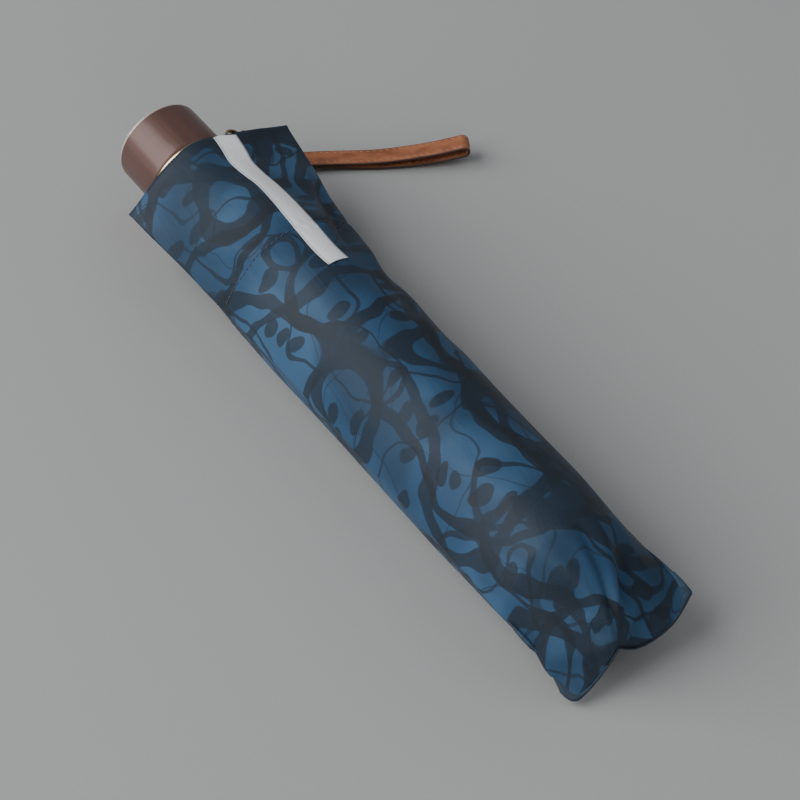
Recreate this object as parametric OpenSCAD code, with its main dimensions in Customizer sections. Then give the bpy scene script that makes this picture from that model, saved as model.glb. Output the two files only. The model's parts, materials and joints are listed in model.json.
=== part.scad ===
// Three-fold manual umbrella, folded and held in its fabric sleeve.
// +X runs along the shaft from the handle end to the tip, +Z is up,
// and the origin is the centre of the handle's flat end face.

/* [Handle] */
// Radius of the lacquered grip
grip_r = 17.4; // [16:0.1:18]
// Length of the lacquered grip
grip_l = 23.6; // [22:0.1:24]
// Radius of the rounded edge at the free end
grip_round = 2; // [1:0.1:6]
// Radius of the metal collar
collar_r = 17.6; // [17.4:0.1:18.2]
// Width of the metal collar
collar_w = 4; // [3:0.1:5]
// Far end of the socket that holds the shaft
socket_x = 50; // [44:0.5:51]

/* [Shaft] */
// Outer radius of the upper tube, which carries the ribs
upper_r = 6; // [5.9:0.01:6]
// Outer radius of the middle tube
mid_r = 5.33; // [5.2:0.01:5.35]
// Outer radius of the lower tube, fixed in the handle
lower_r = 4.68; // [4.5:0.01:4.7]
// Wall of the tubes
tube_wall = 0.6; // [0.5:0.01:0.6]

/* [Ribs] */
// Distance along the shaft of the crown pivots
crown_x = 264; // [262:0.5:265]
// Distance of the crown pivots from the shaft's centre line
hub_r = 9.5; // [9.4:0.05:9.8]
// Length of an inner rib between its pivots
inner_rib_l = 190; // [180:1:191]
// Length of a middle rib between its pivots
middle_rib_l = 182; // [170:1:183]
// Length of an outer rib from its pivot to its tip
outer_rib_l = 196; // [180:1:197]
// Distance from the crown pivot to the stretcher's pivot on the inner rib
arm_offset = 80; // [70:1:85]
// Length of a stretcher between its pivots
stretcher_l = 100; // [90:1:100]

/* [Sleeve] */
// Radius of the filled sleeve
sleeve_r = 27.4; // [27:0.1:29]
// Wall of the sleeve as a solid
sleeve_wall = 0.7; // [0.5:0.1:0.8]
// Plane of the sleeve's mouth
mouth_x = 25.2; // [24:0.1:27]
// Width of the label tape
label_w = 8.6; // [6:0.1:10]

/* [Strap] */
// Width of the wrist strap
strap_w = 8; // [6:0.1:9]
// Thickness of one layer of the wrist strap
strap_t = 1.3; // [1:0.1:1.6]

/* [Hidden] */
RIBS = [1, 2, 3, 4, 5, 6];
$fn = 48;

lacquer = [0.30, 0.19, 0.16];
black = [0.1, 0.1, 0.11];

// Folded rib stack, as distances from the shaft's centre line.
knee_lift = 2.2;     // inner rib to knee pivot, and knee pivot to middle rib
elbow_lift = 1.05;   // middle rib to elbow pivot, and elbow pivot to outer rib
knee_r = hub_r + knee_lift;
middle_rib_r = knee_r + knee_lift;
elbow_r = middle_rib_r + elbow_lift;
outer_rib_r = elbow_r + elbow_lift;

// Pivots along the shaft.
knee_x = crown_x - inner_rib_l;
elbow_x = knee_x + middle_rib_l;
tip_x = elbow_x - outer_rib_l;
arm_x = crown_x - arm_offset;
runner_x = arm_x - stretcher_l;

// Pivot pins and the holes that turn on them.
pin_r = 0.6;
hole_r = 0.66;
small_pin_r = 0.55;
small_hole_r = 0.6;

// Helpers ---------------------------------------------------------------

// Limits at equal distances either side of a middle.
function span(half, middle = 0) = [middle - half, middle + half];
function unit(v) = v / norm(v);

// Places a piece drawn as (along the shaft, out from it, sideways) at rib i.
module at_rib(i) rotate([60 * (i - 1), 0, 0]) children();

// A block given by its limits on each axis.
module block(x, y, z)
    translate([x[0], y[0], z[0]]) cube([x[1] - x[0], y[1] - y[0], z[1] - z[0]]);

// A cylinder whose axis runs sideways between the limits in side.
module cross_disc(x, out, side, radius, facets = 32)
    translate([x, out, side[0]]) cylinder(h = side[1] - side[0], r = radius, $fn = facets);
module cross_pin(x, out, side, radius) cross_disc(x, out, side, radius, 24);

// A cylinder along the shaft.
module along(x0, x1, radius)
    translate([x0, 0, 0]) rotate([0, 90, 0]) cylinder(h = x1 - x0, r = radius);

module tube(x0, x1, outer, inner) difference() {
    along(x0, x1, outer);
    along(x0 - 1, x1 + 1, inner);
}

// A solid turned about the shaft from [radius, x] points.
module turned(points) rotate([90, 0, 90]) rotate_extrude($fn = 96) polygon(points);

// Turns +Z to direction v.
module aim(v) rotate([0, acos(v[2] / norm(v)), atan2(v[1], v[0])]) children();

// Skin through rings of equal length, with flat ends, or joined end to end if closed.
module skin(rings, closed = false) {
    n = len(rings[0]);
    m = len(rings);
    points = [for (ring = rings) each ring];
    sides = [for (j = [0 : (closed ? m - 1 : m - 2)]) for (i = [0 : n - 1])
        let (here = j * n, next = (j + 1) % m * n, k = (i + 1) % n)
        each [[here + i, here + k, next + k], [here + i, next + k, next + i]]];
    caps = closed ? [] : [[for (i = [n - 1 : -1 : 0]) i], [for (i = [0 : n - 1]) (m - 1) * n + i]];
    polyhedron(points = points, faces = concat(sides, caps), convexity = 8);
}

// Handle ----------------------------------------------------------------

bore_x = 12;                      // closed end of the grip's bore
bore_r = 13.5;
bore_gap = 0.1;                   // from the bore to the socket inside it
collar_end = grip_l + collar_w;
collar_edge = 0.3;                // chamfer
lower_tube_x = 14;
socket_neck_r = 16.6;             // where the socket leaves the collar

module handle() color(lacquer) difference() {
    round_r = grip_r - grip_round;
    turned(concat([[0, 0], [round_r, 0]],
        [for (a = [-80 : 10 : 0]) [round_r + grip_round * cos(a), grip_round + grip_round * sin(a)]],
        [[grip_r, grip_l], [0, grip_l]]));
    along(bore_x, grip_l + 1, bore_r);
}

module handle_collar() color([0.80, 0.66, 0.50]) {
    inner = bore_r + bore_gap;
    edge_r = collar_r - collar_edge;
    turned([[inner, grip_l], [edge_r, grip_l], [collar_r, grip_l + collar_edge],
        [collar_r, collar_end - collar_edge], [edge_r, collar_end], [inner, collar_end]]);
}

module handle_socket() color([0.12, 0.12, 0.13]) difference() {
    plug_r = bore_r - bore_gap;
    turned([[0, bore_x], [plug_r, bore_x], [plug_r, collar_end], [socket_neck_r, collar_end],
        [socket_neck_r, 34], [14.5, 42], [10.5, socket_x], [0, socket_x]]);
    along(lower_tube_x, socket_x + 1, lower_r);
}

// Shaft -----------------------------------------------------------------

upper_end = 4.5;     // end of the upper tube beyond the crown pivots

module lower_tube() color("silver") tube(lower_tube_x, 258, lower_r, lower_r - tube_wall);
module mid_tube() color("silver") tube(52.5, 261.5, mid_r, mid_r - tube_wall + 0.02);
module upper_tube() color("silver") tube(54, crown_x + upper_end, upper_r, upper_r - tube_wall);

// The crown and cap are drawn from the plane of the crown pivots.
module crown() color(black) translate([crown_x, 0, 0]) difference() {
    union() {
        along(-3.5, 2.3, 11.8);
        along(2, 5.2, 8);
    }
    along(-4, upper_end, upper_r);
    along(4, 6, 4);                // hole for the cap's stem
    for (i = RIBS) at_rib(i) {
        block([-4, 2.6], [7.9, 13], span(1.5));
        cross_pin(0, hub_r, span(3.2), pin_r);
    }
}

module crown_wire() color("gray")
    for (i = RIBS) at_rib(i) cross_pin(crown_x, hub_r, span(3), pin_r);

module top_cap() color(lacquer) translate([crown_x, 0, 0]) union() {
    turned([[0, 5.3], [8.4, 5.3], [8.7, 6.4], [8.2, 9.5],
        [6.8, 13.5], [4.6, 16.6], [2, 18.4], [0, 18.8]]);
    along(1, 6, 3.9);              // stem
}

// Runner ----------------------------------------------------------------

runner_start = 56;
button_x = [59, 66];
button_half = 2.5;
button_turn = 30;    // midway between two ribs

module runner() color(black) difference() {
    union() {
        along(runner_start, runner_x + 5, 7.6);
        along(runner_start, 68, 10);
        // A lug and pin for each stretcher.
        for (i = RIBS) at_rib(i) {
            block(span(4, runner_x), [6.6, hub_r + 1.1], [-4.6, -3.35]);
            cross_pin(runner_x, hub_r, [-4.5, -3.28], pin_r);
        }
    }
    along(50, runner_x + 10, upper_r + 0.08);
    // Pocket round the button.
    rotate([button_turn, 0, 0])
        block(button_x + [-0.1, 0.1], [6.9, 12], span(button_half + 0.15));
}

module runner_button() color([0.25, 0.25, 0.27])
    rotate([button_turn, 0, 0]) block(button_x, [8.2, 11.1], span(button_half));

// Ribs ------------------------------------------------------------------

rib_half_w = 1.3;
rib_half_h = 0.9;
groove_half_w = 0.8;
// Sideways limits of the two leaves that overlap at a pivot.
leaf_gap = 0.1;
low_leaf = [-rib_half_w, -leaf_gap];
high_leaf = [leaf_gap, rib_half_w];
leaf_over = 0.8;     // reach of a leaf past its pivot
knee_leaf = 5;       // reach of a knee leaf along its rib
knee_eye_r = 1.5;
eye_r = 1.3;         // at the crown, elbow and runner
joint_pin = [-1.2, 1.25];
// Ends of the knee leaves along the shaft.
knee_leaf_x = [knee_x - leaf_over, knee_x + knee_leaf];

module rib_bar(x, out) block(x, span(rib_half_h, out), span(rib_half_w));

module rib_inner(i) color("gray") at_rib(i) difference() {
    union() {
        rib_bar([knee_x + 3, crown_x - 2], hub_r);
        block([crown_x - 4, crown_x], span(0.8, hub_r), span(1.2));
        cross_disc(crown_x, hub_r, span(1.2), eye_r);
        block(knee_leaf_x, [hub_r - rib_half_h, knee_r], low_leaf);
        cross_disc(knee_x, knee_r, low_leaf, knee_eye_r);
        cross_pin(knee_x, knee_r, joint_pin, pin_r);
    }
    // Groove open towards the shaft.
    block([knee_x + 6, crown_x - 5], [hub_r - 1, hub_r + 0.3], span(groove_half_w));
    cross_pin(crown_x, hub_r, span(2), hole_r);
}

module rib_middle(i) color("gray") at_rib(i) difference() {
    union() {
        rib_bar([knee_x + 3, elbow_x - 3], middle_rib_r);
        block(knee_leaf_x, [knee_r, middle_rib_r + rib_half_h], high_leaf);
        cross_disc(knee_x, knee_r, high_leaf, knee_eye_r);
        block([elbow_x - 5, elbow_x + leaf_over], [middle_rib_r - rib_half_h, elbow_r], low_leaf);
        cross_disc(elbow_x, elbow_r, low_leaf, eye_r);
        cross_pin(elbow_x, elbow_r, joint_pin, small_pin_r);
    }
    // Groove open away from the shaft.
    block([knee_x + 6, elbow_x - 6], [middle_rib_r - 0.3, middle_rib_r + 1], span(groove_half_w));
    cross_pin(knee_x, knee_r, [0, 2], hole_r);
}

module rib_outer(i) color("dimgray") at_rib(i) {
    wire_r = 0.9;
    difference() {
        union() {
            translate([0, outer_rib_r, 0]) along(tip_x + 2, elbow_x - 4, wire_r);
            block([elbow_x - 6, elbow_x + leaf_over], [elbow_r, outer_rib_r + wire_r], high_leaf);
            cross_disc(elbow_x, elbow_r, high_leaf, eye_r);
        }
        cross_pin(elbow_x, elbow_r, [0, 2], small_hole_r);
    }
    // Moulded tip that the cloth is tied to.
    translate([tip_x, outer_rib_r, 0]) difference() {
        union() {
            along(-1, 8, 1.5);
            translate([-1, 0, 0]) sphere(r = 1.9, $fn = 32);
        }
        along(1.8, 9, wire_r + 0.01);
    }
}

module stretcher(i) color("gray") at_rib(i) {
    eye_side = [-3.2, -1.7];
    block([runner_x + 1, arm_x - 0.5], span(0.7, hub_r), [-3.1, -1.8]);
    cross_disc(runner_x, hub_r, eye_side, eye_r);
    cross_disc(arm_x, hub_r, eye_side, 1.0);
    cross_pin(arm_x, hub_r, [-1.8, -1.42], small_pin_r);
}

// Cloth -----------------------------------------------------------------

cloth_lift = 1.6;    // from a rib's centre line to the cloth
cloth_t = 1;
cloth_side = 1.8;    // sideways start of the cloth
end_gap = 10;        // bare rib at the knee, elbow and tip

// Tilt of the cloth plane at a rib, from how far that rib droops when open.
function tilt(droop) = atan(0.5 * sin(droop) / cos(30));

// Folded cloth of one gore, beside the rib section it hangs from.
module gore(i, x0, x1, out, width, turn) color([0.13, 0.27, 0.45]) at_rib(i)
    translate([x0, out, 0]) rotate([turn, 0, 0])
        translate([0, -cloth_t / 2, cloth_side]) cube([x1 - x0, cloth_t, width]);

module gore_inner(i)
    gore(i, knee_x + end_gap, crown_x - 28, hub_r + cloth_lift, 3, tilt(12));
module gore_middle(i)
    gore(i, knee_x + end_gap, elbow_x - end_gap, middle_rib_r - cloth_lift, 4.2, -tilt(20));
module gore_outer(i)
    gore(i, tip_x + end_gap, elbow_x - end_gap, outer_rib_r + cloth_lift, 5.5, tilt(28));

// Band that holds the rolled canopy shut.
module closure_band() color([0.10, 0.20, 0.34]) tube(78, 92, 25.0, 24.2);

// Sleeve ----------------------------------------------------------------

// Sleeve outline: [x, -Y corner, +Y corner, corner z, top z, bottom z, roundness].
sections = [
    [mouth_x, -28, 39, 2, 18.8, -22, 0],
    [34, -28, 38, 2, 19.6, -25, 0.08],
    [50, -27.9, 34.5, 1.5, 23.6, -27, 0.35],
    [68, -27.7, 31, 1, 26.8, -27, 0.7],
    [90, -27.5, 28.6, 0.4, 27.3, -27, 0.92],
    [115, -sleeve_r, 27.6, 0, sleeve_r, -27, 1],
    [180, -sleeve_r, sleeve_r, 0, sleeve_r, -27, 1],
    [255, -sleeve_r, sleeve_r, 0, 27.2, -27, 1],
    [270, -27.8, 28, -2, 25.5, -27, 0.8],
    [282, -28.8, 31, -6, 16, -26, 0.5],
    [290, -29, 33, -10, -1, -24, 0.2]];
last_section = len(sections) - 1;
end_wall = 1.4;      // thickness of the closed far end
ring_points = 40;

// Height on the outline as a share of full height: an eye shape at roundness 0, an ellipse at 1.
function rise(sine, roundness) = let (eye = sine * (0.35 + 0.65 * abs(sine)))
    eye + (sine - eye) * roundness;

// One ring of points, flattened underneath where the sleeve lies on its side.
function sleeve_ring(s, inset = 0, shift = 0) =
    let (y_low = s[1] + inset, y_high = s[2] - inset, corner = s[3], top = s[4] - inset,
         floor_z = s[5] + inset, roundness = s[6], bottom = floor_z - 1.6 * min(1, 2 * roundness))
    [for (i = [0 : ring_points - 1])
        let (a = i * 360 / ring_points, c = cos(a), f = rise(sin(a), roundness))
        [s[0] + shift, c < 0 ? -c * y_low : c * y_high,
         max(floor_z, corner + abs(f) * ((f > 0 ? top : bottom) - corner))]];

// Inside from the far end to the mouth, then outside back to the far end.
module sleeve() color([0.12, 0.24, 0.40])
    skin(concat(
        [for (j = [last_section : -1 : 0])
            sleeve_ring(sections[j], sleeve_wall, j == last_section ? -end_wall : 0)],
        [for (s = sections) sleeve_ring(s)]));

// Height of the sleeve's upper face at (x, y), for y above 0.
function top_z(x, y) =
    let (j = [for (q = [0 : last_section - 1])
             if (sections[q][0] <= x && x <= sections[q + 1][0]) q][0],
         a = sections[j], b = sections[j + 1],
         s = a + (b - a) * (x - a[0]) / (b[0] - a[0]),
         sine = sqrt(max(0, 1 - pow(y / s[2], 2))))
    s[3] + rise(sine, s[6]) * (s[4] - s[3]);

// Point on the label, at a share of its width from its middle.
function label_point(x, share, lift) =
    let (y = 6.6 + 1.2 * sin((x - 20) * 2.6) + share * label_w) [x, y, top_z(x, y) + lift];

// Woven label tape sewn along the top of the sleeve.
module sleeve_label() color([0.82, 0.83, 0.84])
    skin([for (x = [mouth_x + 0.4 : 5.8 : 113]) concat(
        [for (share = [-0.5 : 0.25 : 0.5]) label_point(x, share, 0.2)],
        [for (share = [0.5 : -0.25 : -0.5]) label_point(x, share, 0.58)])]);

// Tape inside the seam that closes the sleeve's far end.
module sleeve_seam_tape() color([0.08, 0.12, 0.2])
    block([285.0, 285.8], [-16, 18], [-14.5, -7.5]);

// Strap -----------------------------------------------------------------

// Eyelet: the way its post leaves the collar, and the centre of its hole.
eyelet_angle = 32;
eyelet_x = grip_l + collar_w / 2;
eyelet_t = 1.4;
post_dir = [0, cos(eyelet_angle), sin(eyelet_angle)];
post_base_r = collar_r + 0.02;
hole_centre = [eyelet_x, 0, 0] + post_dir * (collar_r + 2.1);

ring_r = 4.6;
ring_wire_r = 0.6;
// The way the ring hangs, and the hinge axis between eyelet, ring and strap.
hang = unit([-0.35, 0.80, -0.49]);
swing = unit(cross(hang, [0.2, 0.25, 1]));

module strap_eyelet() color([0.78, 0.64, 0.42]) difference() {
    union() {
        translate(hole_centre - eyelet_t / 2 * swing) aim(swing)
            cylinder(h = eyelet_t, r = 2.0, $fn = 40);
        // Post, cut to the collar's curve.
        intersection() {
            translate([eyelet_x, 0, 0] + post_dir * post_base_r) aim(post_dir)
                cylinder(h = 1.4, r = 0.9, $fn = 24);
            difference() {
                along(eyelet_x - 4, eyelet_x + 4, 30);
                along(eyelet_x - 5, eyelet_x + 5, post_base_r);
            }
        }
    }
    translate(hole_centre - 3 * swing) aim(swing) cylinder(h = 6, r = 1.15, $fn = 40);
    along(eyelet_x - 5, eyelet_x + 5, post_base_r);
}

module ring() color([0.72, 0.60, 0.42])
    translate(hole_centre + hang * ring_r) aim(cross(hang, swing))
        rotate_extrude($fn = 72) translate([ring_r, 0]) circle(r = ring_wire_r, $fn = 24);

// Centre line between the strap's two layers, from the ring's far side to the free end.
lane = [hole_centre + hang * 2 * ring_r, [20, 27.3, 0.2], [19, 36, -13.5], [20, 47, -22.2],
    [25.5, 60, -23.6], [36, 76.5, -22.6], [47, 94, -20.4], [55.5, 108, -18.4]];
lane_steps = 26;

// Catmull-Rom curve through the lane; t runs from 0 at the ring to 1 at the free end.
function lane_point(t) =
    let (n = len(lane) - 1, s = t * n, i = min(n - 1, floor(s)), f = s - i,
         before = lane[max(0, i - 1)], start = lane[i],
         end = lane[i + 1], after = lane[min(n, i + 2)])
    0.5 * (2 * start + (end - before) * f
        + (2 * before - 5 * start + 4 * end - after) * f * f
        + (3 * start - before - 3 * end + after) * f * f * f);
function lane_dir(t) = unit(lane_point(min(1, t + 0.01)) - lane_point(max(0, t - 0.01)));

// Width direction: the swing axis at the ring, easing to level along the strap.
function width_dir(t) =
    let (dir = lane_dir(t), k = min(1, t / 0.35), ease = k * k * (3 - 2 * k),
         level = unit(cross(dir, [0, 0, 1])),
         hinge = swing * level > 0 ? swing : -swing,
         mixed = hinge * (1 - ease) + level * ease)
    unit(mixed - dir * (mixed * dir));

// Half gap between the layers: round the ring, closed, then a narrow loop.
function half_gap(t) =
    t < 0.14 ? 2.05 - (2.05 - 0.75) * t / 0.14
    : t < 0.5 ? 0.75
    : 0.75 + 1.9 * sin(90 * pow((t - 0.5) / 0.5, 1.2));
// The strap narrows towards the ring.
function width_at(t) = strap_w * (t < 0.12 ? 0.55 + 3.75 * t : 1);

// Corners of the strap's section, turned by angle from the lane's direction.
function strap_section(t, angle) =
    let (dir = lane_dir(t), across = width_dir(t),
         out = cross(across, dir) * sin(angle) + dir * cos(angle),
         middle = lane_point(t) + out * half_gap(t),
         side = across * width_at(t) / 2, face = out * strap_t / 2)
    [middle - side - face, middle + side - face, middle + side + face, middle - side + face];

// One layer out, round the free end, the other layer back, and round the ring.
module strap() color([0.48, 0.24, 0.13])
    skin(concat(
        [for (j = [0 : lane_steps]) strap_section(j / lane_steps, 90)],
        [for (a = [75 : -30 : -75]) strap_section(1, a)],
        [for (j = [lane_steps : -1 : 0]) strap_section(j / lane_steps, -90)],
        [for (a = [-120 : -30 : -240]) strap_section(0, a)]), closed = true);

// Parts -----------------------------------------------------------------

handle();
handle_collar();
handle_socket();
lower_tube();
strap_eyelet();
ring();
strap();
mid_tube();
upper_tube();
crown();
crown_wire();
top_cap();
runner();
runner_button();
sleeve_seam_tape();
sleeve();
sleeve_label();
closure_band();
for (i = RIBS) {
    rib_inner(i);
    rib_middle(i);
    rib_outer(i);
    stretcher(i);
    gore_inner(i);
    gore_middle(i);
    gore_outer(i);
}
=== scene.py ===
import bpy, math, json
import numpy as np
from mathutils import Vector, Matrix
from mathutils.bvhtree import BVHTree

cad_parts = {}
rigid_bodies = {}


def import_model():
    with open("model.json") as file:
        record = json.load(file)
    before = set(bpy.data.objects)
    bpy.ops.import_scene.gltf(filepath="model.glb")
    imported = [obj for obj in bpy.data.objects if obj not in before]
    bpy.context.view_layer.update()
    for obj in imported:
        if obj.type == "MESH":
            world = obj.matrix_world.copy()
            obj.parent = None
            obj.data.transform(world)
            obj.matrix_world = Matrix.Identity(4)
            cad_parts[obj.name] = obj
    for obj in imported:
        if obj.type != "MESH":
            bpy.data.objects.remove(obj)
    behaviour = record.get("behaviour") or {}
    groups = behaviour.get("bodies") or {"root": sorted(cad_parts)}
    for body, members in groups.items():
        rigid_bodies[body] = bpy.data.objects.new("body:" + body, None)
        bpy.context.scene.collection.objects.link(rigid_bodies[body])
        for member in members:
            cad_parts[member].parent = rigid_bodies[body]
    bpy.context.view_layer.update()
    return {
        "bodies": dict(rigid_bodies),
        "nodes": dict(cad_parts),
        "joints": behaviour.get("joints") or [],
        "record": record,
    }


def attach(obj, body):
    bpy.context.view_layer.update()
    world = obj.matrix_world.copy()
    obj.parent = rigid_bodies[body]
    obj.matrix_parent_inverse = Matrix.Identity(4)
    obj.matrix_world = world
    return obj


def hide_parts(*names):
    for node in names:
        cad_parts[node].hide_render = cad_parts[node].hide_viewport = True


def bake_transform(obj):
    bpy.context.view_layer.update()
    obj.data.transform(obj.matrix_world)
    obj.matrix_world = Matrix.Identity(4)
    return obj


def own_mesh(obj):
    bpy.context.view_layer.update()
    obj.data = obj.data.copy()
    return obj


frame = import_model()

MM = 0.001
rng = np.random.default_rng(7)
JOINTS = {j["name"]: j for j in frame["joints"]}
SC = bpy.context.scene


# ---------------------------------------------------------------- mesh helpers
def mesh_obj(name, verts, faces, uv=None, smooth=True, mat=None):
    """verts in mm; uv is one (u, v) per vertex or one per loop."""
    me = bpy.data.meshes.new(name)
    me.from_pydata([tuple(float(c) * MM for c in v) for v in verts], [], [tuple(int(i) for i in f) for f in faces])
    me.validate()
    if uv is not None:
        layer = me.uv_layers.new(name="flat")
        uv = np.asarray(uv, float)
        if len(uv) == len(me.vertices):
            idx = np.zeros(len(me.loops), np.int32)
            me.loops.foreach_get("vertex_index", idx)
            uv = uv[idx]
        layer.data.foreach_set("uv", uv.astype(np.float32).ravel())
    if smooth:
        me.polygons.foreach_set("use_smooth", [True] * len(me.polygons))
    o = bpy.data.objects.new(name, me)
    SC.collection.objects.link(o)
    if mat:
        me.materials.append(mat)
    return o


def grid_obj(name, P, UV=None, close_u=False, close_v=False, mat=None, flip=False, smooth=True):
    """P[nu, nv, 3] in mm. When close_u is set, UV has nu + 1 rows."""
    nu, nv = P.shape[:2]
    faces, uvs = [], []
    for a in range(nu if close_u else nu - 1):
        for b in range(nv if close_v else nv - 1):
            a2, b2 = (a + 1) % nu, (b + 1) % nv
            q = [a * nv + b, a2 * nv + b, a2 * nv + b2, a * nv + b2]
            k = [(a, b), (a + 1, b), (a + 1, b + 1), (a, b + 1)]
            if flip:
                q.reverse(); k.reverse()
            faces.append(q)
            if UV is not None:
                for i, j in k:
                    uvs.append(UV[i, j])
    return mesh_obj(name, P.reshape(-1, 3), faces, np.array(uvs) if UV is not None else None, smooth, mat)


def lathe(name, prof, n=128, axis_c=(0, 0), mat=None):
    """Closed turned solid about the X axis from [(x, r), ...] whose ends lie on the axis or which is a closed loop."""
    prof = [p for p in prof]
    on_axis = prof[0][1] < 1e-6 and prof[-1][1] < 1e-6
    ring = prof[1:-1] if on_axis else prof
    V = []
    for x, r in ring:
        for k in range(n):
            a = 2 * math.pi * k / n
            V.append((x, axis_c[0] + r * math.cos(a), axis_c[1] + r * math.sin(a)))
    F = []
    m = len(ring)
    for j in range(m if not on_axis else m - 1):
        j2 = (j + 1) % m
        for k in range(n):
            k2 = (k + 1) % n
            F.append((j * n + k, j2 * n + k, j2 * n + k2, j * n + k2))
    if on_axis:
        V.append((prof[0][0], axis_c[0], axis_c[1])); a = len(V) - 1
        V.append((prof[-1][0], axis_c[0], axis_c[1])); b = len(V) - 1
        for k in range(n):
            k2 = (k + 1) % n
            F.append((a, k, k2))
            F.append((b, (m - 1) * n + k2, (m - 1) * n + k))
    o = mesh_obj(name, V, [tuple(reversed(f)) for f in F], mat=mat)
    return o


def tube_mesh(paths, radius, seg=8, closed=False):
    """Vertices and faces of round cords along one or more polylines (mm)."""
    V, F = [], []
    for path in paths:
        P = np.asarray(path, float)
        n = len(P)
        if closed:
            T = np.roll(P, -1, 0) - np.roll(P, 1, 0)
        else:
            T = np.gradient(P, axis=0)
        T /= np.linalg.norm(T, axis=1)[:, None]
        ref = np.array([0, 0, 1.0])
        if abs(T[0] @ ref) > 0.9:
            ref = np.array([0, 1.0, 0])
        N = ref - T[0] * (T[0] @ ref); N /= np.linalg.norm(N)
        base = len(V)
        frames = []
        for i in range(n):
            N = N - T[i] * (T[i] @ N); N /= np.linalg.norm(N)
            frames.append((N.copy(), np.cross(T[i], N)))
        if closed:
            # close the twist
            N2 = frames[-1][0]
            N2 = N2 - T[0] * (T[0] @ N2); N2 /= np.linalg.norm(N2)
            tw = math.atan2(N2 @ frames[0][1], N2 @ frames[0][0])
            frames = [(f[0] * math.cos(-tw * i / n) + f[1] * math.sin(-tw * i / n),
                       -f[0] * math.sin(-tw * i / n) + f[1] * math.cos(-tw * i / n)) for i, f in enumerate(frames)]
        for i in range(n):
            r = radius if np.isscalar(radius) else radius[i]
            for k in range(seg):
                a = 2 * math.pi * k / seg
                V.append(P[i] + r * (frames[i][0] * math.cos(a) + frames[i][1] * math.sin(a)))
        for i in range(n if closed else n - 1):
            i2 = (i + 1) % n
            for k in range(seg):
                k2 = (k + 1) % seg
                F.append((base + i * seg + k, base + i * seg + k2, base + i2 * seg + k2, base + i2 * seg + k))
        if not closed:
            F.append(tuple(base + k for k in reversed(range(seg))))
            F.append(tuple(base + (n - 1) * seg + k for k in range(seg)))
    return V, F


def stitch(p, q, n, r=0.2, seg=6, rise=0.25):
    """A capsule-like stitch from p to q over a surface with normal n."""
    t = np.linspace(0, 1, 6)
    pts = [p + (q - p) * k + n * (rise * math.sin(math.pi * k) - 0.10) for k in t]
    rad = [r * (0.45 + 0.55 * math.sin(math.pi * min(1, max(0, 0.12 + 0.76 * k)))) for k in t]
    return pts, rad


def join_cords(items, seg=6):
    V, F = [], []
    for pts, rad in items:
        v, f = tube_mesh([pts], rad, seg)
        b = len(V)
        V += v
        F += [tuple(i + b for i in q) for q in f]
    return V, F


def solidify(o, t_mm, offset=-1.0):
    m = o.modifiers.new("thick", "SOLIDIFY")
    m.thickness = t_mm * MM
    m.offset = offset
    m.use_even_offset = False
    return o


def apply_mods(o):
    dg = bpy.context.evaluated_depsgraph_get()
    me = bpy.data.meshes.new_from_object(o.evaluated_get(dg), preserve_all_data_layers=True, depsgraph=dg)
    o.modifiers.clear()
    o.data = me


def smoothstep(t):
    t = np.clip(t, 0, 1)
    return t * t * (3 - 2 * t)


def catmull(pts, n):
    P = np.asarray(pts, float)
    d = np.r_[0, np.cumsum(np.linalg.norm(np.diff(P, axis=0), axis=1))]
    out = []
    for s in np.linspace(0, d[-1], n):
        i = min(len(P) - 2, int(np.searchsorted(d, s, side="right")) - 1)
        f = (s - d[i]) / (d[i + 1] - d[i])
        p0, p1, p2, p3 = P[max(0, i - 1)], P[i], P[i + 1], P[min(len(P) - 1, i + 2)]
        out.append(0.5 * (2 * p1 + (p2 - p0) * f + (2 * p0 - 5 * p1 + 4 * p2 - p3) * f * f + (3 * p1 - p0 - 3 * p2 + p3) * f ** 3))
    return np.array(out)


def vnoise(p, seed=0):
    """Smooth value noise in 3-D, -1..1."""
    p = np.asarray(p, float)
    i = np.floor(p).astype(int)
    f = p - i
    f = f * f * (3 - 2 * f)
    def h(a):
        x = (a[..., 0] * 374761393 + a[..., 1] * 668265263 + a[..., 2] * 2147483647 + seed * 1274126177) & 0xFFFFFFFF
        x = ((x ^ (x >> 13)) * 1274126177) & 0xFFFFFFFF
        return ((x ^ (x >> 16)) & 0xFFFF) / 32767.5 - 1
    out = 0
    for dx in (0, 1):
        for dy in (0, 1):
            for dz in (0, 1):
                w = (f[..., 0] if dx else 1 - f[..., 0]) * (f[..., 1] if dy else 1 - f[..., 1]) * (f[..., 2] if dz else 1 - f[..., 2])
                out = out + w * h(i + np.array([dx, dy, dz]))
    return out


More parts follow.
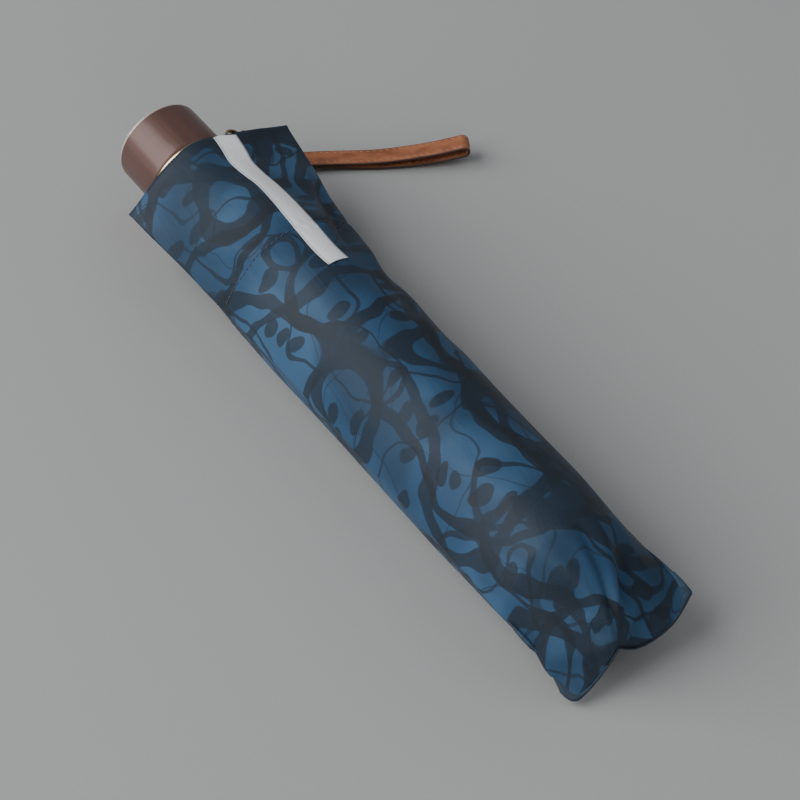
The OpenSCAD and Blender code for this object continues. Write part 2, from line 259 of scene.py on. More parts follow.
# ---------------------------------------------------------------- materials
class NT:
    """Small helper to wire shader nodes."""
    def __init__(self, name):
        self.mat = bpy.data.materials.new(name)
        self.mat.use_nodes = True
        self.t = self.mat.node_tree
        self.b = self.t.nodes["Principled BSDF"]

    def n(self, kind, **kw):
        nd = self.t.nodes.new(kind)
        for k, v in kw.items():
            setattr(nd, k, v)
        return nd

    def link(self, a, b):
        self.t.links.new(a, b)

    def put(self, sock, val):
        if hasattr(val, "is_linked") or isinstance(val, bpy.types.NodeSocket):
            self.link(val, sock)
        else:
            sock.default_value = val

    def math(self, op, a, b=None, c=None, clamp=False):
        nd = self.n("ShaderNodeMath", operation=op, use_clamp=clamp)
        self.put(nd.inputs[0], a)
        if b is not None:
            self.put(nd.inputs[1], b)
        if c is not None:
            self.put(nd.inputs[2], c)
        return nd.outputs[0]

    def ramp(self, v, a, b, smooth=True, lo=0.0, hi=1.0):
        nd = self.n("ShaderNodeMapRange", interpolation_type="SMOOTHSTEP" if smooth else "LINEAR", clamp=True)
        self.put(nd.inputs[0], v)
        for i, x in zip((1, 2, 3, 4), (a, b, lo, hi)):
            self.put(nd.inputs[i], x)
        return nd.outputs[0]

    def mix(self, f, a, b, mode="MIX"):
        nd = self.n("ShaderNodeMix", data_type="RGBA", blend_type=mode)
        self.put(nd.inputs[0], f)
        self.put(nd.inputs[6], a if not isinstance(a, tuple) else (*a, 1))
        self.put(nd.inputs[7], b if not isinstance(b, tuple) else (*b, 1))
        return nd.outputs[2]

    def noise(self, vec, scale, detail=2.0, rough=0.5, dim="3D", out=0, distort=0.0):
        nd = self.n("ShaderNodeTexNoise", noise_dimensions=dim)
        self.put(nd.inputs["Vector"], vec)
        nd.inputs["Scale"].default_value = scale
        nd.inputs["Detail"].default_value = detail
        nd.inputs["Roughness"].default_value = rough
        nd.inputs["Distortion"].default_value = distort
        return nd.outputs[out]

    def mapped(self, vec, loc=(0, 0, 0), rot=(0, 0, 0), scale=(1, 1, 1)):
        nd = self.n("ShaderNodeMapping")
        self.put(nd.inputs[0], vec)
        nd.inputs[1].default_value = loc
        nd.inputs[2].default_value = rot
        nd.inputs[3].default_value = scale
        return nd.outputs[0]

    def bump(self, h, strength=0.3, dist=0.0002, normal=None):
        nd = self.n("ShaderNodeBump")
        nd.inputs["Strength"].default_value = strength
        nd.inputs["Distance"].default_value = dist
        self.put(nd.inputs["Height"], h)
        if normal is not None:
            self.put(nd.inputs["Normal"], normal)
        return nd.outputs[0]

    def set(self, **kw):
        for k, v in kw.items():
            self.put(self.b.inputs[k.replace("_", " ")], v if not (isinstance(v, tuple) and len(v) == 3) else (*v, 1))
        return self


def print_mask(m, uv):
    """Overlapping brush strokes: level lines of several smooth fields, whose width swells where the field is flat."""
    warp = m.noise(uv, 0.06, 1.0, 0.5, "2D", out=1)
    wv = m.n("ShaderNodeVectorMath", operation="MULTIPLY_ADD")
    m.put(wv.inputs[0], warp); wv.inputs[1].default_value = (7, 7, 0); m.put(wv.inputs[2], uv)
    p = wv.outputs[0]
    layers = []
    def stroke(loc, rot, scale, level, width, soft, amp=1.0, detail=0.0):
        q = m.mapped(p, loc=loc, rot=(0, 0, rot), scale=(scale[0], scale[1], 1))
        nz = m.noise(q, 1.0, detail, 0.4, "2D")
        dist = m.math("ABSOLUTE", m.math("SUBTRACT", nz, level))
        mask = m.ramp(dist, width, width + soft, lo=amp, hi=0.0)
        layers.append(mask)
        return mask
    stroke((3.1, 7.7, 0), 0.3, (0.023, 0.019), 0.50, 0.048, 0.009, 0.86)
    stroke((11.9, 2.3, 0), -0.6, (0.027, 0.019), 0.47, 0.040, 0.009, 0.84)
    stroke((5.6, 19.3, 0), 0.9, (0.018, 0.028), 0.55, 0.034, 0.009, 0.88)
    stroke((31.0, 8.4, 0), 0.1, (0.036, 0.022), 0.42, 0.016, 0.006, 0.80)
    stroke((17.7, 41.2, 0), -1.1, (0.030, 0.042), 0.62, 0.014, 0.006, 0.80)
    stroke((23.5, 13.1, 0), 0.5, (0.020, 0.030), 0.58, 0.0050, 0.004, 0.60)
    stroke((51.5, 3.9, 0), -0.3, (0.030, 0.018), 0.42, 0.0042, 0.004, 0.50)
    # filled blots
    vo = m.n("ShaderNodeTexVoronoi", voronoi_dimensions="2D", feature="F1")
    m.put(vo.inputs["Vector"], m.mapped(p, loc=(2, 5, 0), rot=(0, 0, 0.7), scale=(0.042, 0.075, 1)))
    vo.inputs["Scale"].default_value = 1.0
    blot = m.ramp(vo.outputs["Distance"], 0.20, 0.225, lo=0.82, hi=0.0)
    layers.append(blot)
    keep = None
    for l in layers:
        inv = m.math("SUBTRACT", 1.0, l)
        keep = inv if keep is None else m.math("MULTIPLY", keep, inv)
    return keep, p


def fabric_mat(name, inner=False):
    m = NT(name)
    uvn = m.n("ShaderNodeUVMap"); uvn.uv_map = "flat"
    uv = uvn.outputs[0]
    keep, p = print_mask(m, uv)
    cloud = m.noise(m.mapped(uv, scale=(0.02, 0.02, 1)), 1.0, 2.0, 0.5, "2D")
    blue = m.mix(m.ramp(cloud, 0.35, 0.65), (0.0185, 0.060, 0.126), (0.036, 0.096, 0.184))
    dark = m.mix(m.ramp(cloud, 0.35, 0.65), (0.0105, 0.0160, 0.0240), (0.0170, 0.0240, 0.0345))
    grain = m.noise(m.mapped(uv, scale=(2.4, 3.4, 1)), 1.0, 2.0, 0.6, "2D")
    f = m.math("ADD", keep, m.math("MULTIPLY", m.math("SUBTRACT", grain, 0.5), 0.10), clamp=True)
    col = m.mix(f, dark, blue)
    # broad soft patches darkened towards dark navy: painted shade laid into the cloth's colour in random places
    painted_shade_patches = m.noise(m.mapped(uv, loc=(4, 9, 0), scale=(0.026, 0.017, 1)), 1.0, 2.0, 0.55, "2D")
    col = m.mix(m.math("MULTIPLY", m.ramp(painted_shade_patches, 0.46, 0.66), 0.55), col, (0.0120, 0.0250, 0.0430))
    col = m.mix(m.math("MULTIPLY", m.ramp(grain, 0.3, 0.7), 0.16), col, m.mix(0.5, col, (0.12, 0.14, 0.17)))
    if inner:
        col = m.mix(0.45, col, (0.05, 0.07, 0.10))
    # satin weave: fine diagonal floats
    wv = m.n("ShaderNodeTexWave", wave_type="BANDS", bands_direction="DIAGONAL", wave_profile="SIN")
    m.put(wv.inputs["Vector"], m.mapped(uv, scale=(3.2, 3.2, 1)))
    wv.inputs["Scale"].default_value = 1.0
    wv.inputs["Distortion"].default_value = 1.2
    wv.inputs["Detail"].default_value = 2.0
    n1 = m.bump(wv.outputs["Fac"], 0.10, 0.00004)
    n2 = m.bump(m.noise(m.mapped(uv, scale=(0.9, 1.4, 1)), 1.0, 3.0, 0.6, "2D"), 0.22, 0.00010, n1)
    crease = m.noise(m.mapped(uv, scale=(0.10, 0.045, 1)), 1.0, 3.0, 0.55, "2D", distort=0.6)
    n3 = m.bump(crease, 0.30, 0.0012, n2)
    m.set(Base_Color=col, Roughness=m.ramp(grain, 0.3, 0.7, lo=0.46, hi=0.58), Specular_IOR_Level=0.17,
          Sheen_Weight=0.02, Sheen_Roughness=0.45, Sheen_Tint=(0.55, 0.70, 0.95), Normal=n3)
    return m.mat


def lacquer_mat(name="lacquer_brown"):
    m = NT(name)
    tc = m.n("ShaderNodeTexCoord").outputs["Object"]
    st = m.noise(m.mapped(tc, scale=(6, 420, 420)), 1.0, 4.0, 0.6)
    st2 = m.noise(m.mapped(tc, scale=(14, 1300, 1300)), 1.0, 3.0, 0.6)
    cl = m.noise(m.mapped(tc, scale=(40, 60, 60)), 1.0, 2.0, 0.5)
    c = m.mix(m.ramp(st, 0.30, 0.70), (0.088, 0.041, 0.034), (0.118, 0.057, 0.047))
    c = m.mix(m.math("MULTIPLY", m.ramp(st2, 0.55, 0.75), 0.22), c, (0.22, 0.135, 0.118))
    c = m.mix(m.math("MULTIPLY", m.ramp(cl, 0.4, 0.7), 0.35), c, (0.12, 0.058, 0.050))
    sx = m.n("ShaderNodeSeparateXYZ"); m.put(sx.inputs[0], tc)
    # pale near-white band on the rounded end edge (x under about 2 mm, radius over 15 mm): a painted highlight where
    # the edge rounding catches the key light; the band is also made more metallic and glossier
    painted_rim_highlight = m.ramp(m.math("ADD", sx.outputs[0], m.math("MULTIPLY", m.math("SUBTRACT", cl, 0.5), 0.00012)), 0.0013, 0.0021, lo=1.0, hi=0.0)
    rr = m.math("SQRT", m.math("ADD", m.math("MULTIPLY", sx.outputs[1], sx.outputs[1]), m.math("MULTIPLY", sx.outputs[2], sx.outputs[2])))
    painted_rim_highlight = m.math("MULTIPLY", painted_rim_highlight, m.ramp(rr, 0.0150, 0.0157))
    c = m.mix(m.math("MULTIPLY", painted_rim_highlight, 0.92), c, (0.88, 0.83, 0.79))
    n = m.bump(st2, 0.06, 0.00003)
    rgh = m.math("SUBTRACT", m.ramp(st, 0.3, 0.7, lo=0.42, hi=0.50), m.math("MULTIPLY", painted_rim_highlight, 0.20))
    m.set(Base_Color=c, Metallic=m.math("ADD", m.math("MULTIPLY", painted_rim_highlight, 0.45), 0.25), Roughness=rgh, Coat_Weight=0.30, Coat_Roughness=0.16,
          Coat_IOR=1.5, Normal=n)
    return m.mat


def metal_mat(name, col, rough=0.25, streak=(1, 1, 1), scale=900.0, var=0.25, wear=None):
    m = NT(name)
    tc = m.n("ShaderNodeTexCoord").outputs["Object"]
    nz = m.noise(m.mapped(tc, scale=tuple(s * scale for s in streak)), 1.0, 4.0, 0.6)
    smu = m.noise(m.mapped(tc, scale=(60, 60, 60)), 1.0, 3.0, 0.5)
    dark = tuple(c * (1 - var) for c in col)
    c = m.mix(m.ramp(nz, 0.3, 0.7), dark, col)
    if wear:
        c = m.mix(m.math("MULTIPLY", m.ramp(smu, 0.5, 0.75), 0.5), c, wear)
    m.set(Base_Color=c, Metallic=1.0, Roughness=m.ramp(smu, 0.3, 0.7, lo=rough * 0.8, hi=rough * 1.35),
          Normal=m.bump(nz, 0.08, 0.00003))
    return m.mat


def plastic_mat(name, col, rough=0.42):
    m = NT(name)
    tc = m.n("ShaderNodeTexCoord").outputs["Object"]
    nz = m.noise(m.mapped(tc, scale=(1600, 1600, 1600)), 1.0, 3.0, 0.6)
    cl = m.noise(m.mapped(tc, scale=(90, 90, 90)), 1.0, 2.0, 0.5)
    c = m.mix(m.ramp(cl, 0.35, 0.65), tuple(x * 0.8 for x in col), tuple(x * 1.25 for x in col))
    m.set(Base_Color=c, Roughness=m.ramp(cl, 0.3, 0.7, lo=rough * 0.85, hi=rough * 1.2), Specular_IOR_Level=0.45, Normal=m.bump(nz, 0.18, 0.00006))
    return m.mat


def leather_mat(name="strap_leather"):
    m = NT(name)
    uvn = m.n("ShaderNodeUVMap"); uvn.uv_map = "flat"
    uv = uvn.outputs[0]
    sep = m.n("ShaderNodeSeparateXYZ"); m.put(sep.inputs[0], uv)
    edge = m.math("ABSOLUTE", sep.outputs[0])        # 0 mid, 4 at the edge (mm)
    vor = m.n("ShaderNodeTexVoronoi", voronoi_dimensions="2D", feature="DISTANCE_TO_EDGE")
    m.put(vor.inputs["Vector"], m.mapped(uv, scale=(1.5, 1.2, 1)))
    vor.inputs["Scale"].default_value = 1.0
    pore = m.ramp(vor.outputs["Distance"], 0.0, 0.16)
    tone = m.noise(m.mapped(uv, scale=(0.25, 0.10, 1)), 1.0, 4.0, 0.6, "2D")
    fib = m.noise(m.mapped(uv, scale=(3.0, 0.6, 1)), 1.0, 3.0, 0.6, "2D")
    c = m.mix(m.ramp(tone, 0.3, 0.7), (0.205, 0.062, 0.024), (0.345, 0.120, 0.050))
    c = m.mix(m.math("MULTIPLY", m.ramp(fib, 0.45, 0.75), 0.30), c, (0.42, 0.17, 0.08))
    c = m.mix(m.math("MULTIPLY", m.math("SUBTRACT", 1.0, pore), 0.22), c, (0.09, 0.028, 0.012))
    c = m.mix(m.ramp(edge, 3.35, 3.9), c, (0.050, 0.020, 0.012))
    n1 = m.bump(pore, 0.25, 0.00010)
    n2 = m.bump(m.noise(m.mapped(uv, scale=(0.8, 0.5, 1)), 1.0, 3.0, 0.5, "2D"), 0.25, 0.0002, n1)
    m.set(Base_Color=c, Roughness=m.ramp(tone, 0.3, 0.7, lo=0.40, hi=0.55), Specular_IOR_Level=0.5, Coat_Weight=0.08, Coat_Roughness=0.35, Normal=n2)
    return m.mat


def label_mat(name="label_tape"):
    m = NT(name)
    uvn = m.n("ShaderNodeUVMap"); uvn.uv_map = "flat"
    uv = uvn.outputs[0]
    wv = m.n("ShaderNodeTexWave", wave_type="BANDS", bands_direction="X", wave_profile="SIN")
    m.put(wv.inputs["Vector"], m.mapped(uv, scale=(2.0, 2.0, 1)))
    wv.inputs["Scale"].default_value = 1.0
    wv.inputs["Distortion"].default_value = 0.6
    w2 = m.n("ShaderNodeTexWave", wave_type="BANDS", bands_direction="Y", wave_profile="SIN")
    m.put(w2.inputs["Vector"], m.mapped(uv, scale=(1.2, 1.2, 1)))
    w2.inputs["Scale"].default_value = 1.0
    sl = m.noise(m.mapped(uv, scale=(0.5, 2.6, 1)), 1.0, 3.0, 0.6, "2D")
    sep = m.n("ShaderNodeSeparateXYZ"); m.put(sep.inputs[0], uv)
    edge = m.math("ABSOLUTE", sep.outputs[0])
    c = m.mix(m.ramp(sl, 0.3, 0.7), (0.80, 0.81, 0.85), (0.90, 0.91, 0.94))
    c = m.mix(m.ramp(edge, 3.7, 4.2), c, (0.50, 0.51, 0.54))
    h = m.math("ADD", m.math("MULTIPLY", wv.outputs["Fac"], 0.5), m.math("MULTIPLY", w2.outputs["Fac"], 0.5))
    m.set(Base_Color=c, Roughness=m.ramp(sl, 0.3, 0.7, lo=0.30, hi=0.42), Specular_IOR_Level=0.6, Anisotropic=0.5, Sheen_Weight=0.2,
          Normal=m.bump(h, 0.22, 0.00008))
    return m.mat


def thread_mat(name, col, rough=0.45):
    m = NT(name)
    tc = m.n("ShaderNodeTexCoord").outputs["Object"]
    nz = m.noise(m.mapped(tc, scale=(3500, 3500, 3500)), 1.0, 2.0, 0.6)
    c = m.mix(m.ramp(nz, 0.35, 0.65), tuple(x * 0.7 for x in col), tuple(min(1, x * 1.3) for x in col))
    m.set(Base_Color=c, Roughness=rough, Sheen_Weight=0.3, Normal=m.bump(nz, 0.3, 0.00004))
    return m.mat


def floor_mat(name="floor_paper"):
    m = NT(name)
    tc = m.n("ShaderNodeTexCoord").outputs["Object"]
    nz = m.noise(m.mapped(tc, scale=(1200, 1200, 1200)), 1.0, 3.0, 0.7)
    cl = m.noise(m.mapped(tc, scale=(3, 3, 3)), 1.0, 2.0, 0.5)
    c = m.mix(m.ramp(nz, 0.25, 0.75), (0.330, 0.335, 0.335), (0.358, 0.363, 0.363))
    c = m.mix(m.math("MULTIPLY", m.ramp(cl, 0.4, 0.6), 0.3), c, (0.335, 0.340, 0.340))
    m.set(Base_Color=c, Roughness=0.62, Specular_IOR_Level=0.30, Normal=m.bump(nz, 0.10, 0.0001))
    return m.mat


M_FAB = fabric_mat("printed_satin")
M_FAB_IN = fabric_mat("printed_satin_back", inner=True)
M_LAC = lacquer_mat()
M_GOLD = metal_mat("pale_gold", (0.86, 0.66, 0.42), 0.20, (0.1, 1, 1), 600, 0.15)
M_RING = metal_mat("ring_gold", (0.55, 0.42, 0.24), 0.26, (1, 1, 1), 900, 0.3, (0.30, 0.22, 0.13))
M_STEEL = metal_mat("shaft_steel", (0.72, 0.72, 0.74), 0.30, (0.05, 1, 1), 1500, 0.12)
M_WIRE = metal_mat("wire_steel", (0.42, 0.42, 0.44), 0.30, (1, 1, 1), 1200, 0.25)
M_ALU = metal_mat("rib_aluminium", (0.56, 0.57, 0.59), 0.34, (0.06, 1, 1), 1400, 0.2)
M_BLK = plastic_mat("black_plastic", (0.016, 0.016, 0.018))
M_RESIN = plastic_mat("rib_resin", (0.030, 0.030, 0.034), 0.36)
M_LEA = leather_mat()
M_LAB = label_mat()
M_NAVY = thread_mat("navy_thread", (0.020, 0.032, 0.075))
M_PALE = thread_mat("saddle_thread", (0.36, 0.185, 0.10))
M_WHITE = thread_mat("tape_thread", (0.55, 0.56, 0.60))
M_EDGE = plastic_mat("edge_paint", (0.028, 0.014, 0.010), 0.45)
M_BIND = plastic_mat("seam_edge", (0.008, 0.014, 0.026), 0.62)


def paint(node, mat, bevel=0.0):
    o = frame["nodes"][node]
    o.data.materials.clear()
    o.data.materials.append(mat)
    for s in o.material_slots:
        s.material = mat


# ---------------------------------------------------------------- sleeve
# Cross-sections: a round filling of radius R (centre height zc) with a taut sheet drawn round it to two side corners.
SEC = np.array([
    # x,    R,    zc,   yl,    zl,   yr,   zr,  drop of the underside
    [25.0, 18.5, 0.0, -29.0, -1.0, 40.5, 5.0, 4.5],
    [34.0, 18.9, 0.0, -28.9, -0.8, 39.6, 4.0, 5.0],
    [46.0, 20.6, 0.0, -28.7, -0.5, 37.5, 3.0, 5.0],
    [60.0, 23.2, 0.0, -28.4, -0.2, 34.6, 1.5, 3.2],
    [76.0, 25.3, 0.0, -28.0, 0.0, 31.7, 0.5, 1.6],
    [95.0, 26.5, 0.0, -27.6, 0.0, 29.2, 0.0, 0.5],
    [120.0, 26.9, 0.0, -27.3, 0.0, 27.8, 0.0, 0.1],
    [170.0, 27.0, 0.0, -27.3, 0.0, 27.6, 0.0, 0.0],
    [215.0, 27.0, 0.0, -27.4, 0.0, 27.9, -0.5, 0.0],
    [240.0, 26.9, 0.0, -27.5, -0.6, 28.8, -1.2, 0.0],
    [256.0, 26.2, -0.5, -27.6, -2.5, 30.2, -2.4, 0.0]])
MH = 96      # points per half (top / underside)


def hull2(pts):
    pts = sorted(map(tuple, pts))
    def half(ps):
        h = []
        for p in ps:
            while len(h) > 1 and (h[-1][0] - h[-2][0]) * (p[1] - h[-2][1]) - (h[-1][1] - h[-2][1]) * (p[0] - h[-2][0]) <= 0:
                h.pop()
            h.append(p)
        return h
    lower, upper = half(pts), half(pts[::-1])
    return np.array(lower), np.array(upper)      # left->right below, right->left above


def resample(P, n, power=1.0):
    d = np.r_[0, np.cumsum(np.linalg.norm(np.diff(P, axis=0), axis=1))]
    s = np.linspace(0, d[-1], n)
    return np.c_[np.interp(s, d, P[:, 0]), np.interp(s, d, P[:, 1])]


def section(x):
    v = [np.interp(x, SEC[:, 0], SEC[:, k]) for k in range(1, 8)]
    R, zc, yl, zl, yr, zr, drop = v
    a = np.linspace(0, 2 * np.pi, 240, endpoint=False)
    C = np.c_[R * np.cos(a), zc + R * np.sin(a)]
    C[:, 1] = np.where(C[:, 1] < zc, zc + (C[:, 1] - zc) * (R + drop) / R, C[:, 1])
    C[:, 1] = np.maximum(C[:, 1], -26.9)
    cr = 0.5
    corner = lambda y, z: np.c_[y + cr * np.cos(a[::12]) * 1.0, z + cr * np.sin(a[::12])]
    low, up = hull2(np.r_[C, corner(yl, zl), corner(yr, zr)])
    return resample(up, MH), resample(low, MH)      # top: right -> left, underside: left -> right


# Seam at the far end, right corner to left tip.
SEAM = catmull([(282.6, 34.0, -8.0), (286.6, 24.0, -12.2), (287.4, 14.5, -14.6), (286.9, 7.5, -14.6), (286.8, 2.5, -11.5), (287.0, -0.6, -9.0),
                (287.4, -4.0, -12.6), (287.4, -9.5, -18.8), (287.8, -14.5, -21.8), (287.6, -18.4, -23.6), (285.2, -20.3, -23.9), (281.4, -21.0, -23.2)], MH)


def gauss_rows(A, sig):
    k = int(3 * sig) + 1
    w = np.exp(-0.5 * (np.arange(-k, k + 1) / sig) ** 2); w /= w.sum()
    B = np.pad(A, [(k, k)] + [(0, 0)] * (A.ndim - 1), mode="edge")
    # keep the slope at the ends
    for i in range(k):
        B[k - 1 - i] = 2 * A[0] - A[min(len(A) - 1, i + 1)]
        B[len(B) - k + i] = 2 * A[-1] - A[max(0, len(A) - 2 - i)]
    return sum(w[j] * B[j:j + len(A)] for j in range(2 * k + 1))


def sleeve_surface():
    xs = np.linspace(25.0, 256.0, 176)
    top = np.zeros((len(xs), MH, 3)); bot = np.zeros((len(xs), MH, 3))
    for i, x in enumerate(xs):
        t, b = section(x)
        top[i] = np.c_[np.full(MH, x), t]
        bot[i] = np.c_[np.full(MH, x), b]
    top[:, :, 1:] = gauss_rows(top[:, :, 1:], 5.0)
    bot[:, :, 1:] = gauss_rows(bot[:, :, 1:], 5.0)
    # the far end, from the last section to the seam
    nE = 40
    te = np.zeros((nE, MH, 3)); be = np.zeros((nE, MH, 3))
    seam_b = SEAM[::-1]
    for k in range(nE):
        tau = (k + 1) / nE
        u = np.linspace(0, 1, MH)
        # how long the top stays high: longest over the cap's ridge, short at the sides
        ridge = np.exp(-((u - 0.52) / 0.10) ** 2)
        pw = 1.55 + 1.9 * ridge
        fz = tau ** pw
        fy = smoothstep(tau) * 0.55 + tau * 0.45
        a, s = top[-1], SEAM
        te[k, :, 0] = a[:, 0] + (s[:, 0] - a[:, 0]) * (1 - (1 - tau) ** 1.08)
        te[k, :, 1] = a[:, 1] + (s[:, 1] - a[:, 1]) * fy
        te[k, :, 2] = a[:, 2] + (s[:, 2] - a[:, 2]) * (0.35 * tau + 0.65 * fz)
        a, s = bot[-1], seam_b
        be[k, :, 0] = a[:, 0] + (s[:, 0] - a[:, 0]) * (1 - (1 - tau) ** 1.08)
        be[k, :, 1] = a[:, 1] + (s[:, 1] - a[:, 1]) * fy
        be[k, :, 2] = a[:, 2] + (s[:, 2] - a[:, 2]) * tau ** 2.0
    top = np.r_[top, te]; bot = np.r_[bot, be]
    ring = np.concatenate([top[:, :-1], bot[:, :-1]], axis=1)       # right corner, over the top, left corner, underneath
    return ring


def bump_fn(d, w):
    return np.exp(-(d / w) ** 2)


def sleeve_folds(R):
    """Folds and puckers, pushed along the normals."""
    n0, n1 = R.shape[:2]
    du = np.roll(R, -1, 1) - np.roll(R, 1, 1)
    dv = np.gradient(R, axis=0)
    N = np.cross(du, dv)
    N /= np.linalg.norm(N, axis=2)[:, :, None] + 1e-9
    c = R.mean(axis=1, keepdims=True)
    if ((R - c) * N).sum() < 0:
        N = -N
    X, Y, Z = R[..., 0], R[..., 1], R[..., 2]
    ang = np.arctan2(Z, Y)                                  # 0 at +Y, 90 deg on top
    h = np.zeros((n0, n1))
    body = smoothstep((X - 30) / 40) * (1 - smoothstep((X - 268) / 14))
    # the bundle inside: soft long ridges
    h += body * (0.55 * np.cos(3 * ang + 0.6 + X * 0.004) + 0.35 * np.cos(5 * ang - 1.0 - X * 0.006))
    # broad unevenness
    q = np.stack([X / 46, Y / 26 + 3, Z / 26], -1)
    h += body * 0.75 * vnoise(q, 3)
    q = np.stack([X / 20 + Y / 40, Y / 15 + 9, Z / 15], -1)
    h += body * 0.32 * vnoise(q, 5)
    # slanting drag folds behind the mouth on the strap's side
    def fold(x0, y0, x1, y1, w, amp, side=1):
        d = np.array([x1 - x0, y1 - y0], float); L = np.linalg.norm(d); d /= L
        s = (X - x0) * d[0] + (Y - y0) * d[1]
        t = -(X - x0) * d[1] + (Y - y0) * d[0]
        m = np.exp(-(t / w) ** 2) * smoothstep(s / (0.25 * L)) * (1 - smoothstep((s - 0.75 * L) / (0.25 * L)))
        return amp * m * np.where(side * Z > -6, 1.0, 0.0)
    h += fold(40, 36, 98, 12, 3.2, 1.7)
    h += fold(52, 34, 112, 16, 2.6, -1.3)
    h += fold(60, 33, 118, 20, 2.6, 1.5)
    h += fold(76, 30, 135, 18, 3.0, 1.1)
    h += fold(96, 29, 150, 16, 3.2, -1.0)
    h += fold(112, 28, 165, 14, 3.6, 0.9)
    h += fold(45, -27, 110, -8, 4.0, 0.8)
    h += fold(60, -26, 130, -12, 3.4, -0.7)
    h += fold(30, -14, 70, -24, 3.5, 0.5)
    h += fold(150, 24, 215, 10, 4.5, 0.7)
    h += fold(175, -22, 240, -6, 4.5, 0.7)
    # gathers fanning out from the ridge at the far end
    for a0, amp, w in ((-62, 1.3, 2.0), (-40, -1.1, 2.2), (-22, 1.5, 2.0), (8, -1.4, 2.0), (24, 1.7, 1.9), (42, -1.5, 2.0), (58, 1.2, 2.1), (75, -0.9, 2.0)):
        a = math.radians(a0)
        px, py = 287.0, -0.5
        dx, dy = -math.cos(a), math.sin(a)
        s = (X - px) * dx + (Y - py) * dy
        t = -(X - px) * dy + (Y - py) * dx
        h += amp * np.exp(-(t / (w * (0.5 + s / 26))) ** 2) * smoothstep(s / 6) * (1 - smoothstep((s - 20) / 22)) * (Z > -18)
    # hem: stitch line groove, with small puckers between stitches
    hx = hem_x(Y, Z)
    dd = X - hx
    h += -0.30 * np.exp(-(dd / 1.4) ** 2) + 0.16 * np.exp(-((dd + 2.2) / 1.5) ** 2) + 0.16 * np.exp(-((dd - 2.2) / 1.5) ** 2)
    arc = np.arctan2(Z, Y) * 27
    h += 0.14 * np.exp(-(np.abs(dd) / 3.2) ** 2) * np.cos(arc * 2 * np.pi / 4.4) * np.sign(dd)
    # the mouth's edge: rolled hem and slight flutter
    h += 0.30 * np.exp(-((X - 25.0) / 1.1) ** 2)
    h += 0.5 * np.exp(-((X - 25) / 12) ** 2) * vnoise(np.stack([X * 0 + 2, Y / 9, Z / 9], -1), 11)
    P = R + N * h[..., None]
    # the mouth's plane leans: further out at the top, back at the corners
    k = np.exp(-((X - 25) / 16) ** 2)
    P[..., 0] += k * (0.5 + 0.3 * smoothstep((-Y - 12) / 18) + 1.0 * smoothstep((Y - 22) / 18) + 1.5 * smoothstep((-Z) / 20))
    # the cloth stays clear of the cap inside it
    need = np.interp(P[..., 0], [255, 268, 270.4, 273.5, 277.5, 280.6, 282.4, 283.4], [0, 9.6, 9.9, 9.5, 8.2, 6.1, 3.8, 0])
    rad = np.hypot(P[..., 1], P[..., 2])
    push = np.where((rad < need) & (rad > 0.2), need / np.maximum(rad, 0.2), 1.0)
    P[..., 1] *= push; P[..., 2] *= push
    P[..., 2] = np.maximum(P[..., 2], -26.95)
    return P, N


def hem_x(Y, Z):
    return np.interp(Y, [-29, -27, -17, -10, -2, 3.5, 11.4, 18.5, 27.4, 32], [85.6, 86.5, 89.0, 89.6, 89.3, 89.2, 87.8, 87.6, 81.6, 78.0])


R0 = sleeve_surface()
S, SN = sleeve_folds(R0)
n0, n1 = S.shape[:2]
# flattened coordinates in mm: round the cloth and along it
dl = np.linalg.norm(np.roll(S, -1, 1) - S, axis=2).mean(axis=0)
arc = np.r_[0, np.cumsum(dl)] * (172.0 / dl.sum())
lens = np.r_[0, np.cumsum(np.linalg.norm(np.diff(S, axis=0), axis=2).mean(axis=1))]
UV = np.zeros((n0, n1 + 1, 2)); UV[..., 0] = arc[None, :]; UV[..., 1] = lens[:, None]
Pt = S.transpose(1, 0, 2)
sleeve = grid_obj("sleeve_cloth", Pt, UV.transpose(1, 0, 2), close_u=True, mat=M_FAB)
# make the normals face out
me = sleeve.data
pn = me.polygons[n0 // 2]
if Vector(pn.normal).dot(Vector((0, pn.center[1], pn.center[2]))) < 0:
    me.flip_normals()
me.materials.append(M_FAB_IN)
sd = solidify(sleeve, 0.45)
sd.modifiers["thick"].material_offset = 1
apply_mods(sleeve)
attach(sleeve, "sleeve")
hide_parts("sleeve", "sleeve_seam_tape")
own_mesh(sleeve)

# surface lookup for things sewn on the sleeve
outer = BVHTree.FromPolygons([Vector(p) for p in S.reshape(-1, 3)],
                             [(a * n1 + b, (a + 1) * n1 + b, (a + 1) * n1 + (b + 1) % n1, a * n1 + (b + 1) % n1) for a in range(n0 - 1) for b in range(n1)])


def on_top(x, y, lift=0.0):
    hit = outer.ray_cast(Vector((x, y, 60)), Vector((0, 0, -1)))
    while hit[0] is None and x < 60:          # past the mouth's edge: step back on to the cloth
        x += 0.1
        hit = outer.ray_cast(Vector((x, y, 60)), Vector((0, 0, -1)))
    p, n = hit[0], hit[1]
    if n.z < 0:
        n = -n
    return np.array(p + n * lift), np.array(n)


